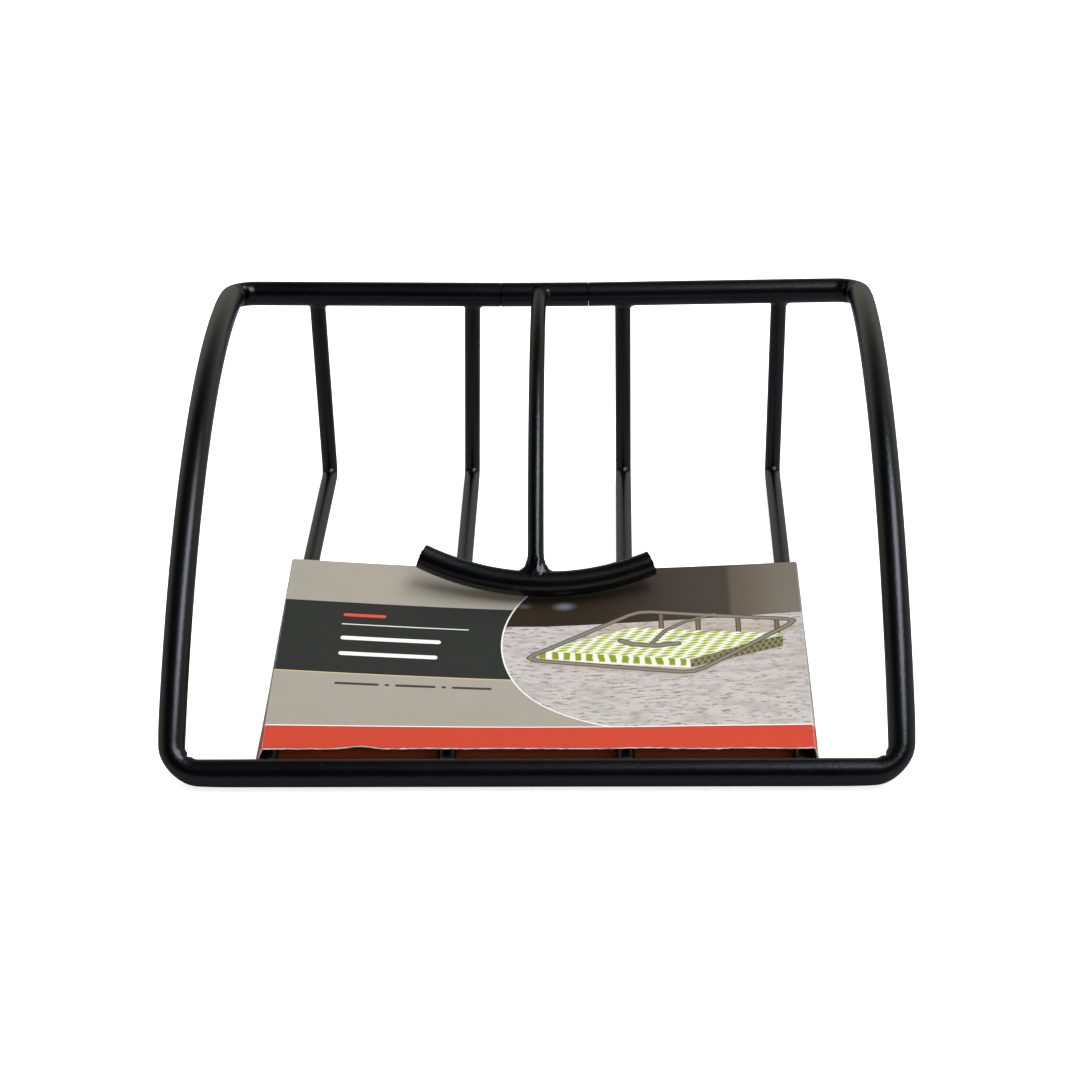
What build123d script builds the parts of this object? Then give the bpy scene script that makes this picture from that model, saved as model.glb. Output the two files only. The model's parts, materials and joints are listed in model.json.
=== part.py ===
from build123d import *
import math
import os

# A free-standing wire napkin holder with a weighted arm that swings on its rear rail.
# Millimetres. The origin is the middle of the footprint, on the table. +X is to the
# right, +Y is to the rear and +Z is up.

# Driving dimensions of the whole holder
OVERALL_WIDTH = 190.5
OVERALL_DEPTH = 190.5
OVERALL_HEIGHT = 69.85

# Frame loop: one thick rod, bent into a ring that rises towards the rear
FRAME_WIRE = 7.1
CORNER_SETBACK = 7.0          # from a corner's point to where its bend starts
FRONT_SLOPE = 45.0            # degrees, how steeply the side rails leave the front rail
REAR_RAIL_Y = 87.0
REAR_RAIL_DIP = 0.9           # the rear rail sinks this much towards the barrel

# Ribs: four thin wires that carry the napkins and hold the rear rail up. Each is welded in
# by hand and leans a little: its X at the front rail, at the rear bend and at the rear rail.
RIB_WIRE = 4.6
RIB_PLACES = {
    "outer_left_rib": (-67.8, -66.25, -67.25),
    "inner_left_rib": (-22.55, -23.05, -21.3),
    "inner_right_rib": (22.6, 22.8, 22.7),
    "outer_right_rib": (67.2, 67.9, 68.5),
}
RIB_BEND = 2.6                # centre-line radius of the bend at the rear
RIB_WELD_REACH = 1.0          # how far a weld bead creeps along the rib
RIB_WELD_SWELL = 1.1          # how far it stands out from the rib at its root

# Pivot: a barrel between the two ends of the rear rail, on a pin pressed into them
BARREL_LENGTH = 25.2
BARREL_GAP = 0.5
PIN_DIAMETER = 3.2
PIN_CLEARANCE = 0.05          # radial, so that the barrel turns freely
PIN_GRIP = 5.5                # length of pin in each rail end
PRESS_OVERLAP = 0.01          # radial interference of pin and rail
PIN_END_ROOM = 0.4            # spare depth of the two holes together

# Weighted arm: it sits just left of the middle and swings over towards the front
ARM_WIRE = 4.4
ARM_X = -1.8
ARM_RISE = 0.7                # the arm meets the barrel this far above its axis
BARREL_WELD_REACH = 1.4
BARREL_WELD_SWELL = 1.0

# Weight bar: a bowed rod across the end of the arm, its middle foremost
BAR_DIAMETER = 6.8
BAR_X = -1.2
BAR_Y = -17.0
BAR_Z = 19.25
BAR_CHORD = 62.0              # straight distance between the bar's ends
BAR_BOW = 6.9                 # how far the middle stands in front of the ends
BAR_SKEW = 1.95               # degrees, the bar is welded slightly out of square
BAR_WELD_REACH = 4.2
BAR_WELD_SWELL = 1.8

# Card sleeve: a printed band round the ribs, held open like a wedge
CARD_THICKNESS = 0.4
CARD_FRONT_Y = -87.0
CARD_REAR_Y = -4.0
CARD_TOP_HALF_WIDTH = 69.6
CARD_BASE_HALF_WIDTH = 71.6
CARD_BASE_Z = 0.06
CARD_FRONT_HEIGHT = 7.2
CARD_REAR_HEIGHT = 20.0
CARD_FRONT_SAG = 0.3
CARD_REAR_SAG = 2.9           # the bar presses the middle of the rear edge down

# A weld bead's flank is hollow: at this share of its reach, this share of its swell is left
HOLLOW_AT = 0.4
HOLLOW_LEFT = 0.35

FRAME_RADIUS = FRAME_WIRE / 2
RIB_RADIUS = RIB_WIRE / 2
ARM_RADIUS = ARM_WIRE / 2
BAR_RADIUS = BAR_DIAMETER / 2

# Where the frame loop's centre line runs
SIDE_X = OVERALL_WIDTH / 2 - FRAME_RADIUS
FRONT_Y = -(OVERALL_DEPTH / 2 - FRAME_RADIUS)
FRONT_Z = FRAME_RADIUS
CREST_Z = OVERALL_HEIGHT - FRAME_RADIUS
RAIL_END_X = BARREL_LENGTH / 2 + BARREL_GAP

# Each side rail is one arc. It starts behind the front bend and peaks before the rear bend.
SLOPE = math.radians(FRONT_SLOPE)
ARC_START = Vector(
    -SIDE_X,
    FRONT_Y + CORNER_SETBACK * math.cos(SLOPE),
    FRONT_Z + CORNER_SETBACK * math.sin(SLOPE),
)
SIDE_ARC_RADIUS = (CREST_Z - ARC_START.Z) / (1 - math.cos(SLOPE))
CREST_Y = ARC_START.Y + SIDE_ARC_RADIUS * math.sin(SLOPE)
REAR_REACH = (REAR_RAIL_Y - CREST_Y) / math.hypot(SIDE_ARC_RADIUS, CORNER_SETBACK)
REAR_FALL = math.asin(REAR_REACH) - math.atan(CORNER_SETBACK / SIDE_ARC_RADIUS)
ARC_END = Vector(
    -SIDE_X,
    CREST_Y + SIDE_ARC_RADIUS * math.sin(REAR_FALL),
    CREST_Z - SIDE_ARC_RADIUS * (1 - math.cos(REAR_FALL)),
)
REAR_CORNER_Z = ARC_END.Z - CORNER_SETBACK * math.sin(REAR_FALL)
PIVOT_Y = REAR_RAIL_Y
PIVOT_Z = REAR_CORNER_Z - REAR_RAIL_DIP


def rod(edges, diameter, facing):
    """A round rod swept along edges; facing is the direction it sets off in."""
    path = Wire(edges)
    section = Plane(origin=path.position_at(0), z_dir=facing) * Circle(diameter / 2)
    return sweep(section, path=path)


def left_half_of_loop():
    """Centre line of the loop's left half, from the rear gap to the middle of the front rail."""
    rail_end = Vector(-RAIL_END_X, PIVOT_Y, PIVOT_Z)
    rear_corner = Vector(-SIDE_X, REAR_RAIL_Y, REAR_CORNER_Z)
    inward = (rail_end - rear_corner).normalized()
    bend_start = rear_corner + inward * CORNER_SETBACK
    falling = Vector(0, -math.cos(REAR_FALL), math.sin(REAR_FALL))
    front_bend_end = Vector(-SIDE_X + CORNER_SETBACK, FRONT_Y, FRONT_Z)
    front_middle = Vector(0, FRONT_Y, FRONT_Z)
    descent = Vector(0, -math.cos(SLOPE), -math.sin(SLOPE))
    return [
        Edge.make_line(rail_end, bend_start),
        Edge.make_tangent_arc(bend_start, inward * -1, ARC_END),
        Edge.make_tangent_arc(ARC_END, falling, ARC_START),
        Edge.make_tangent_arc(ARC_START, descent, front_bend_end),
        Edge.make_line(front_bend_end, front_middle),
    ]


def pin_hole():
    """The hole in both rail ends, slightly tighter than the pin."""
    length = 2 * (RAIL_END_X + PIN_GRIP)
    hole = Cylinder(PIN_DIAMETER / 2 - PRESS_OVERLAP, length, rotation=(0, 90, 0))
    return Pos(0, PIVOT_Y, PIVOT_Z) * hole


def make_frame_loop():
    half = left_half_of_loop()
    left = rod(half, FRAME_WIRE, half[0] % 0)
    whole = left + mirror(left, about=Plane.YZ)
    return whole - pin_hole()


def rear_rail_point(x):
    """The point of the rear rail's centre line at x."""
    dip = REAR_RAIL_DIP * (SIDE_X - abs(x)) / (SIDE_X - RAIL_END_X)
    return Vector(x, REAR_RAIL_Y, REAR_CORNER_Z - dip)


def rib_points(places):
    """Points of one rib's centre line: front end, both ends of its rear bend, and top end."""
    front_x, bend_x, top_x = places
    rear_y = OVERALL_DEPTH / 2 - RIB_RADIUS
    lean = math.atan2(REAR_RAIL_Y - rear_y, REAR_CORNER_Z - RIB_RADIUS)
    setback = RIB_BEND * math.tan((math.pi / 2 - lean) / 2)
    front = Vector(front_x, FRONT_Y, FRONT_Z)
    corner = Vector(bend_x, rear_y - RIB_BEND + setback, RIB_RADIUS)
    top = rear_rail_point(top_x)
    rearward = (corner - front).normalized()
    upward = (top - corner).normalized()
    return front, corner - rearward * setback, corner + upward * setback, top


def make_rib(places, loop):
    front, bend_start, bend_end, top = rib_points(places)
    rearward = bend_start - front
    edges = [
        Edge.make_line(front, bend_start),
        Edge.make_tangent_arc(bend_start, rearward, bend_end),
        Edge.make_line(bend_end, top),
    ]
    return rod(edges, RIB_WIRE, rearward) - loop


def weld_collar(root, direction, wire_radius, root_depth, reach, swell):
    """A bead round a wire: wide at its root, dying away along the wire in a hollow curve."""
    foot = wire_radius + swell
    tip = root_depth + reach
    hollow = (wire_radius + HOLLOW_LEFT * swell, root_depth + HOLLOW_AT * reach)
    outline = [
        Edge.make_line((0, 0), (foot, 0)),
        Edge.make_line((foot, 0), (foot, root_depth)),
        Edge.make_three_point_arc((foot, root_depth), hollow, (wire_radius, tip)),
        Edge.make_line((wire_radius, tip), (0, tip)),
        Edge.make_line((0, tip), (0, 0)),
    ]
    profile = Plane.XZ * Face(Wire(outline))
    return Plane(origin=root, z_dir=direction) * revolve(profile, axis=Axis.Z)


def cut_bead(collar, *neighbours):
    """What is left of a bead outside the metal that it joins, as one solid."""
    bead = collar
    for metal in neighbours:
        bead = bead - metal
    return bead.solids().sort_by(SortBy.VOLUME)[-1]


def make_rib_welds(ribs, loop):
    def bead(rib, root, direction):
        collar = weld_collar(root, direction, RIB_RADIUS, FRAME_RADIUS, RIB_WELD_REACH, RIB_WELD_SWELL)
        return cut_bead(collar, loop, rib)

    front_beads = []
    rear_beads = []
    for name, places in RIB_PLACES.items():
        front, bend_start, bend_end, top = rib_points(places)
        front_beads.append(bead(ribs[name], front, bend_start - front))
        rear_beads.append(bead(ribs[name], top, bend_end - top))
    return Compound(front_beads), Compound(rear_beads)


def along_pivot(radius, length):
    """A cylinder centred on the pivot axis."""
    return Pos(0, PIVOT_Y, PIVOT_Z) * Cylinder(radius, length, rotation=(0, 90, 0))


def make_barrel():
    tube = along_pivot(FRAME_RADIUS, BARREL_LENGTH)
    bore = along_pivot(PIN_DIAMETER / 2 + PIN_CLEARANCE, BARREL_LENGTH)
    return tube - bore


def make_pin():
    length = 2 * (RAIL_END_X + PIN_GRIP) - PIN_END_ROOM
    return along_pivot(PIN_DIAMETER / 2, length)


def arm_centre_line():
    """An arc that leaves the barrel level and comes down on the middle of the bar."""
    start = Vector(ARM_X, PIVOT_Y, PIVOT_Z + ARM_RISE)
    return Edge.make_tangent_arc(start, Vector(0, -1, 0), Vector(BAR_X, BAR_Y, BAR_Z))


def bar_centre_line(arm_line):
    """An arc whose middle is foremost; it lies in the plane of the arm's lower end."""
    up_arm = (arm_line % 1) * -1
    skew = math.radians(BAR_SKEW)
    middle = Vector(BAR_X, BAR_Y, BAR_Z)
    along = Vector(math.cos(skew), 0, 0) - up_arm * math.sin(skew)
    back = up_arm * math.cos(skew) + Vector(math.sin(skew), 0, 0)
    left = middle - along * (BAR_CHORD / 2) + back * BAR_BOW
    right = middle + along * (BAR_CHORD / 2) + back * BAR_BOW
    return Edge.make_three_point_arc(left, middle, right)


def make_arm():
    """Arm wire, weight bar and the two beads that join the arm to the barrel and the bar."""
    arm_line = arm_centre_line()
    bar_line = bar_centre_line(arm_line)
    bar = rod([bar_line], BAR_DIAMETER, bar_line % 0)
    barrel_core = along_pivot(FRAME_RADIUS, BARREL_LENGTH)
    wire = rod([arm_line], ARM_WIRE, arm_line % 0) - barrel_core - bar

    barrel_collar = weld_collar(
        arm_line @ 0, arm_line % 0, ARM_RADIUS, FRAME_RADIUS, BARREL_WELD_REACH, BARREL_WELD_SWELL
    )
    bar_collar = weld_collar(
        arm_line @ 1, (arm_line % 1) * -1, ARM_RADIUS, BAR_RADIUS, BAR_WELD_REACH, BAR_WELD_SWELL
    )
    barrel_weld = cut_bead(barrel_collar, barrel_core, wire)
    bar_weld = cut_bead(bar_collar, bar, wire)
    return wire, bar, barrel_weld, bar_weld


def card_section(y, height, sag, inset):
    """One cross-section of the sleeve, drawn inset from its outer face."""
    base = CARD_BASE_HALF_WIDTH - inset
    top = CARD_TOP_HALF_WIDTH - inset
    low = CARD_BASE_Z + inset
    high = height - inset
    corners = [(-top, high), (-base, low), (base, low), (top, high)]
    edges = [Edge.make_line(a, b) for a, b in zip(corners, corners[1:])]
    edges.append(Edge.make_three_point_arc((top, high), (0, high - sag), (-top, high)))
    section_plane = Plane(origin=(0, y, 0), x_dir=(1, 0, 0), z_dir=(0, -1, 0))
    return section_plane * Face(Wire(edges))


def make_card():
    def wedge(inset):
        front = card_section(CARD_FRONT_Y, CARD_FRONT_HEIGHT, CARD_FRONT_SAG, inset)
        rear = card_section(CARD_REAR_Y, CARD_REAR_HEIGHT, CARD_REAR_SAG, inset)
        return loft([front, rear])

    return wedge(0) - wedge(CARD_THICKNESS)


frame_loop = make_frame_loop()
ribs = {name: make_rib(places, frame_loop) for name, places in RIB_PLACES.items()}
front_rib_welds, rear_rib_welds = make_rib_welds(ribs, frame_loop)
arm_wire, weight_bar, arm_barrel_weld, arm_bar_weld = make_arm()

parts = {
    "frame_loop": frame_loop,
    **ribs,
    "front_rib_welds": front_rib_welds,
    "rear_rib_welds": rear_rib_welds,
    "pivot_pin": make_pin(),
    "pivot_barrel": make_barrel(),
    "arm_wire": arm_wire,
    "weight_bar": weight_bar,
    "arm_barrel_weld": arm_barrel_weld,
    "arm_bar_weld": arm_bar_weld,
    "card_sleeve": make_card(),
}

os.makedirs("parts", exist_ok=True)
for name, shape in parts.items():
    export_step(shape, f"parts/{name}.step")
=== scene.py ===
import json
import math
from collections import namedtuple
from functools import partialmethod, reduce

import bmesh
import bpy
import numpy as np
from mathutils import Matrix, Vector, noise


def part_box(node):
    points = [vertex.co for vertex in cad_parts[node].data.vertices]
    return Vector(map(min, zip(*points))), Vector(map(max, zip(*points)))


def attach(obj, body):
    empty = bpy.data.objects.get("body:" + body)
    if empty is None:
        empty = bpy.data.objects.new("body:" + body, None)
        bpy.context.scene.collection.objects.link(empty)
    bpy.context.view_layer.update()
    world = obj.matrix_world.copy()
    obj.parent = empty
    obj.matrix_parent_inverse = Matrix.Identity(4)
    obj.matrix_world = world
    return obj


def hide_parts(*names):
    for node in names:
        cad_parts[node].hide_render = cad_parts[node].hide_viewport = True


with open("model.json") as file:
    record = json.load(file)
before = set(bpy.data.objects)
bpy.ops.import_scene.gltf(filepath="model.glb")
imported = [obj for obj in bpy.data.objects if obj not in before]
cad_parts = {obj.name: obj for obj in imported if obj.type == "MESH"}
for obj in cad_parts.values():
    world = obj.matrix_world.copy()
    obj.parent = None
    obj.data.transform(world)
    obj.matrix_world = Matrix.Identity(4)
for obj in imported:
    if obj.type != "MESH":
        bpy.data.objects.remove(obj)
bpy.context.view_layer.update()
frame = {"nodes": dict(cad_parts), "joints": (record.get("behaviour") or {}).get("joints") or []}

# A wire napkin holder with a weighted arm and a printed card sleeve. Metres, in the
# packed part's own frame: +X right, +Y rear, +Z up, origin on the table.

scene = bpy.context.scene
MM = 0.001

# ---- where the part is


def low(node):
    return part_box(node)[0]


def high(node):
    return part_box(node)[1]


def slice_x(node, near):
    """The middle x of what the CAD node has near a place; None leaves a coordinate free."""
    close = 3.2 * MM
    spots = [
        vertex.co.x for vertex in frame["nodes"][node].data.vertices
        if all(value is None or abs(vertex.co[axis] - value) < close
               for axis, value in enumerate(near))
    ]
    return (min(spots) + max(spots)) / 2


PIVOT = Vector(next(joint for joint in frame["joints"] if joint["name"] == "arm_swing")["pos_m"])

# Frame loop, whose centre line runs one rail radius inside its box
RAIL_RADIUS = high("frame_loop").y - PIVOT.y
SIDE_X = high("frame_loop").x - RAIL_RADIUS
FRONT_Y = low("frame_loop").y + RAIL_RADIUS
FRONT_Z = low("frame_loop").z + RAIL_RADIUS
CREST_Z = high("frame_loop").z - RAIL_RADIUS
CORNER_SETBACK = 7.0 * MM
FRONT_SLOPE = math.radians(45)

# Pivot
BARREL_HALF = high("pivot_barrel").x
BARREL_GAP = 0.5 * MM
RAIL_END_X = BARREL_HALF + BARREL_GAP
HAIRLINE_GAP = 0.05 * MM             # what shows of each gap
BARREL_LEFT_X = HAIRLINE_GAP - RAIL_END_X
RIGHT_RAIL_END_X = BARREL_HALF + HAIRLINE_GAP
PIN_RADIUS = (high("pivot_pin").z - low("pivot_pin").z) / 2
PIN_CLEARANCE = 0.05 * MM
PIN_END_PLAY = 0.2 * MM
END_CHAMFER = 0.18 * MM

# Ribs
RIBS = ("outer_left_rib", "inner_left_rib", "inner_right_rib", "outer_right_rib")
RIB_RADIUS = 2.3 * MM
RIB_BEND = 2.6 * MM
RIB_WELD_REACH = 1.0 * MM
RIB_WELD_SWELL = 1.1 * MM

# Weighted arm
ARM_RADIUS = 2.2 * MM
ARM_RISE = 0.7 * MM
BAR_RADIUS = 3.4 * MM
BAR_CHORD = 62.0 * MM
BAR_BOW = 6.9 * MM
BAR_SKEW = math.radians(1.95)
BARREL_WELD_REACH = 1.5 * MM
BARREL_WELD_SWELL = 1.0 * MM
BAR_WELD_REACH = 4.6 * MM
BAR_WELD_SWELL = 2.9 * MM

# Card sleeve
CARD_FRONT_Y = low("card_sleeve").y
CARD_REAR_Y = high("card_sleeve").y
CARD_DEPTH = CARD_REAR_Y - CARD_FRONT_Y
CARD_BASE_HALF = high("card_sleeve").x
CARD_TOP_HALF = CARD_BASE_HALF - 2.0 * MM
CARD_BASE_Z = low("card_sleeve").z
CARD_FRONT_HEIGHT = 7.65 * MM
CARD_REAR_HEIGHT = high("card_sleeve").z
CARD_THICKNESS = 0.4 * MM
CARD_FOLD = 0.55 * MM
CARD_SAG = 3.25 * MM
CARD_REAR_SKEW = 1.5 * MM           # the rear edge is cut slightly out of square
CARD_TUCK = 1.2 * MM                # the rear left corner of the top leans in this much
CARD_LEAN = 0.7 * MM                # the front of the top leans right this much

# Each side rail is one arc, between the bends of its two corners
ARC_START = Vector((
    -SIDE_X,
    FRONT_Y + CORNER_SETBACK * math.cos(FRONT_SLOPE),
    FRONT_Z + CORNER_SETBACK * math.sin(FRONT_SLOPE),
))
SIDE_ARC = (CREST_Z - ARC_START.z) / (1 - math.cos(FRONT_SLOPE))
CREST_Y = ARC_START.y + SIDE_ARC * math.sin(FRONT_SLOPE)
REAR_FALL = (math.asin((PIVOT.y - CREST_Y) / math.hypot(SIDE_ARC, CORNER_SETBACK))
             - math.atan(CORNER_SETBACK / SIDE_ARC))
ARC_END = Vector((
    -SIDE_X,
    CREST_Y + SIDE_ARC * math.sin(REAR_FALL),
    CREST_Z - SIDE_ARC * (1 - math.cos(REAR_FALL)),
))
REAR_CORNER_Z = ARC_END.z - CORNER_SETBACK * math.sin(REAR_FALL)

# Mesh density
AROUND_RAIL = 56
AROUND_WIRE = 40
AROUND_BEAD = 56
BEAD_FLANK = 12                     # points up a bead's hollow flank
WIRE_STEP = 1.4 * MM
BEND_STEP = 0.09                    # radians of a tight bend between two rings
SINK = 0.3 * MM                     # how far a welded end goes into its neighbour
SHARP_ANGLE = math.radians(38)

# ---- paths


def line(start, end, step=WIRE_STEP):
    count = max(1, round((end - start).length / step))
    return [start.lerp(end, index / count) for index in range(count + 1)]


def arc(start, heading, end, step=WIRE_STEP):
    """Points of the arc that leaves start along heading and ends at end."""
    heading = heading.normalized()
    chord = end - start
    aside = chord - heading * chord.dot(heading)
    radius = chord.length_squared / (2 * aside.length)
    aside.normalize()
    turn = 2 * math.atan2(chord.dot(aside), chord.dot(heading))
    count = math.ceil(max(radius * turn / step, turn / BEND_STEP))
    angles = [turn * index / count for index in range(count + 1)]
    return [
        start + heading * (radius * math.sin(angle)) + aside * (radius * (1 - math.cos(angle)))
        for angle in angles
    ]


def join(*legs):
    """One path from legs that each start where the last one ended."""
    path = list(legs[0])
    for leg in legs[1:]:
        path.extend(leg[1:])
    return path


def lump(*place):
    """Smooth noise of about -1 to 1 at a place."""
    return noise.noise(Vector(place))


def full_turn(count):
    return np.linspace(0, 2 * math.pi, count, endpoint=False)


def mirrored(point):
    return Vector((-point.x, point.y, point.z))


def loop_legs():
    """The left half of the frame loop, from the rear gap to the middle of the front rail."""
    rail_end = Vector((-RAIL_END_X, PIVOT.y, PIVOT.z))
    rear_corner = Vector((-SIDE_X, PIVOT.y, REAR_CORNER_Z))
    outward = (rear_corner - rail_end).normalized()
    bend_start = rear_corner - outward * CORNER_SETBACK
    falling = Vector((0, -math.cos(REAR_FALL), math.sin(REAR_FALL)))
    descent = Vector((0, -math.cos(FRONT_SLOPE), -math.sin(FRONT_SLOPE)))
    bend_end = Vector((-SIDE_X + CORNER_SETBACK, FRONT_Y, FRONT_Z))
    return [
        line(rail_end, bend_start),
        arc(bend_start, outward, ARC_END),
        arc(ARC_END, falling, ARC_START),
        arc(ARC_START, descent, bend_end),
        line(bend_end, Vector((0, FRONT_Y, FRONT_Z))),
    ]


def rib_legs(rib):
    """One rib, from the front rail's centre line round its rear bend to the rear rail's."""
    rear_y = high(rib).y
    top_x = slice_x(rib, (None, None, high(rib).z))
    dip = (REAR_CORNER_Z - PIVOT.z) * (SIDE_X - abs(top_x)) / (SIDE_X - RAIL_END_X)
    front = Vector((slice_x(rib, (None, low(rib).y, None)), FRONT_Y, FRONT_Z))
    top = Vector((top_x, PIVOT.y, REAR_CORNER_Z - dip))
    lean = math.atan2(PIVOT.y - rear_y + RIB_RADIUS, REAR_CORNER_Z - RIB_RADIUS)
    setback = RIB_BEND * math.tan((math.pi / 2 - lean) / 2)
    corner_x = slice_x(rib, (None, rear_y, 0))
    corner = Vector((corner_x, rear_y - RIB_RADIUS - RIB_BEND + setback, RIB_RADIUS))
    rearward = (corner - front).normalized()
    upward = (top - corner).normalized()
    bend_start = corner - rearward * setback
    return [
        line(front, bend_start),
        arc(bend_start, rearward, corner + upward * setback),
        line(corner + upward * setback, top),
    ]


def arm_path():
    """The arm's arc, from the barrel down to the middle of the bar."""
    top_x = slice_x("arm_wire", (None, high("arm_wire").y, None))
    bar_x = slice_x("arm_wire", (None, None, low("arm_wire").z))
    bar_low = low("weight_bar")
    start = Vector((top_x, PIVOT.y, PIVOT.z + ARM_RISE))
    bar_middle = Vector((bar_x, bar_low.y + BAR_RADIUS, bar_low.z + BAR_RADIUS))
    return arc(start, Vector((0, -1, 0)), bar_middle)


def bar_path(arm_line):
    """The bar's arc: its middle is foremost, and it lies in the plane of the arm's lower end."""
    bar_middle = arm_line[-1]
    up_arm = (arm_line[-2] - arm_line[-1]).normalized()
    along = Vector((math.cos(BAR_SKEW), 0, 0)) - up_arm * math.sin(BAR_SKEW)
    back = up_arm * math.cos(BAR_SKEW) + Vector((math.sin(BAR_SKEW), 0, 0))
    step = 0.7 * MM
    right = arc(bar_middle, along, bar_middle + along * (BAR_CHORD / 2) + back * BAR_BOW, step)
    left = arc(bar_middle, -along, bar_middle - along * (BAR_CHORD / 2) + back * BAR_BOW, step)
    return join(left[::-1], right), along


# ---- meshes

Dent = namedtuple("Dent", "place facing length grip depth")
Dent.__doc__ = """A mark on one side of a wire: length along it, grip narrows it, depth goes inwards."""


class Host:
    """The round metal that a wire is welded to."""

    def __init__(self, place, axis, radius):
        self.place, self.axis, self.radius = np.array(place), np.array(axis), radius

    def off_axis(self, vectors):
        """What is left of vectors without what runs along the metal."""
        return vectors - (vectors @ self.axis)[..., None] * self.axis

    def skin_points(self, points, heading, sink=0.0):
        """Points moved along heading, which runs into the metal, to sink below its skin."""
        aside = self.off_axis(points - self.place)
        slide = self.off_axis(heading)
        a = slide @ slide
        b = aside @ slide
        c = (aside ** 2).sum(axis=-1) - (self.radius - sink) ** 2
        travel = (-b - np.sqrt(np.clip(b * b - a * c, 0, None))) / a
        return points + travel[..., None] * heading


def rail_at(place):
    return Host(place, (1, 0, 0), RAIL_RADIUS)


def carried_frames(path):
    """Centres, tangents and two normals along a path, carried along it without twist."""
    centres = np.array([tuple(point) for point in path])
    tangents = np.gradient(centres, axis=0)
    tangents /= np.linalg.norm(tangents, axis=1)[:, None]
    normal = np.eye(3)[np.argmin(np.abs(tangents[0]))]
    normals = np.empty_like(centres)
    for index, tangent in enumerate(tangents):
        normal = normal - tangent * normal.dot(tangent)
        normal /= np.linalg.norm(normal)
        normals[index] = normal
    return centres, tangents, normals, np.cross(tangents, normals)


def tube_rings(path, radius, around, dents=()):
    """Rings of points round a path, shaped by dents. Returns the rings and the tangents."""
    centres, tangents, normals, binormals = carried_frames(path)
    angles = full_turn(around)[None, :, None]
    spokes = np.cos(angles) * normals[:, None, :] + np.sin(angles) * binormals[:, None, :]
    reach = np.full(spokes.shape[:2], radius)
    for dent in dents:
        away = np.linalg.norm(centres - np.array(dent.place), axis=1) / dent.length
        side = np.clip(spokes @ np.array(dent.facing), 0, 1) ** dent.grip
        reach -= dent.depth * np.exp(-away[:, None] ** 2) * side
    return centres[:, None, :] + spokes * reach[:, :, None], tangents


def end_rings(ring, outward, chamfer, bore=0.0, bore_depth=0.0, rough=0.0):
    """Rings that close a cut end, from the chamfer inwards; a bore is drilled into it."""
    centre = ring.mean(axis=0)
    spokes = ring - centre
    radius = np.linalg.norm(spokes, axis=1)[:, None]
    spokes /= radius
    sizes = [radius - chamfer]
    if bore:
        sizes += [np.full_like(radius, bore + chamfer / 2), np.full_like(radius, bore)]
    else:
        sizes += [radius * 0.7, radius * 0.35]
    rings = []
    for size in sizes:
        points = centre + spokes * size + outward * chamfer
        burr = [lump(*point / (0.8 * MM)) * rough for point in points]
        rings.append(points + np.outer(burr, outward))
    if bore:
        rings.append(rings[-1] - outward * bore_depth)
    return rings


def trim_to_host(rings, tangents, host):
    """Drops the rings inside a host at the path's start and sinks the first ring into it."""
    centres = host.off_axis(rings.mean(axis=1) - host.place)
    clear = np.linalg.norm(centres, axis=1) > host.radius + SINK
    first = int(np.argmax(clear))
    sunk = host.skin_points(rings[first], -tangents[first], SINK)
    rings = np.concatenate([sunk[None], rings[first:]])
    tangents = np.concatenate([tangents[first][None], tangents[first:]])
    return rings, tangents


def welded_wire(path, radius, first_host, last_host, marks=()):
    """Rings of a wire that is welded to a host at each end."""
    rings, tangents = tube_rings(path, radius, AROUND_WIRE, marks)
    rings, tangents = trim_to_host(rings, tangents, first_host)
    return trim_to_host(rings[::-1], -tangents[::-1], last_host)[0]


def skin(name, rings, looped=False, bands=None):
    """A closed mesh through rings of points. Looped rings join last to first; others are capped.
    bands gives a material index for each step from one ring to the next."""
    rings = np.asarray(rings)
    count, around = rings.shape[:2]
    points = list(rings.reshape(-1, 3))
    steps = count if looped else count - 1
    bands = bands or [0] * steps
    sides = [(side, (side + 1) % around) for side in range(around)]
    faces = []
    slots = []
    for step in range(steps):
        here = step * around
        there = (step + 1) % count * around
        faces += [(here + side, here + after, there + after, there + side) for side, after in sides]
        slots += [bands[step]] * around
    if not looped:
        for ring, slot in ((0, bands[0]), (count - 1, bands[-1])):
            start = ring * around
            faces += [(start + side, start + after, len(points)) for side, after in sides]
            slots += [slot] * around
            points.append(rings[ring].mean(axis=0))
    mesh = bpy.data.meshes.new(name)
    mesh.from_pydata([tuple(point) for point in points], [], faces)
    mesh.polygons.foreach_set("material_index", slots)
    shape = bmesh.new()
    shape.from_mesh(mesh)
    bmesh.ops.recalc_face_normals(shape, faces=shape.faces)
    shape.to_mesh(mesh)
    shape.free()
    mesh.shade_smooth()
    mesh.set_sharp_from_angle(angle=SHARP_ANGLE)
    return mesh


def merged(name, meshes):
    """One mesh of several separate ones."""
    shape = bmesh.new()
    for mesh in meshes:
        shape.from_mesh(mesh)
        bpy.data.meshes.remove(mesh)
    whole = bpy.data.meshes.new(name)
    shape.to_mesh(whole)
    shape.free()
    whole.set_sharp_from_angle(angle=SHARP_ANGLE)
    return whole


def add_object(name, data):
    thing = bpy.data.objects.new(name, data)
    scene.collection.objects.link(thing)
    return thing


def place_piece(name, mesh, materials, body, node):
    """Puts a mesh on a body in place of a CAD node."""
    for material in materials:
        mesh.materials.append(material)
    piece = add_object(name, mesh)
    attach(piece, body)
    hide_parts(node)


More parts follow.
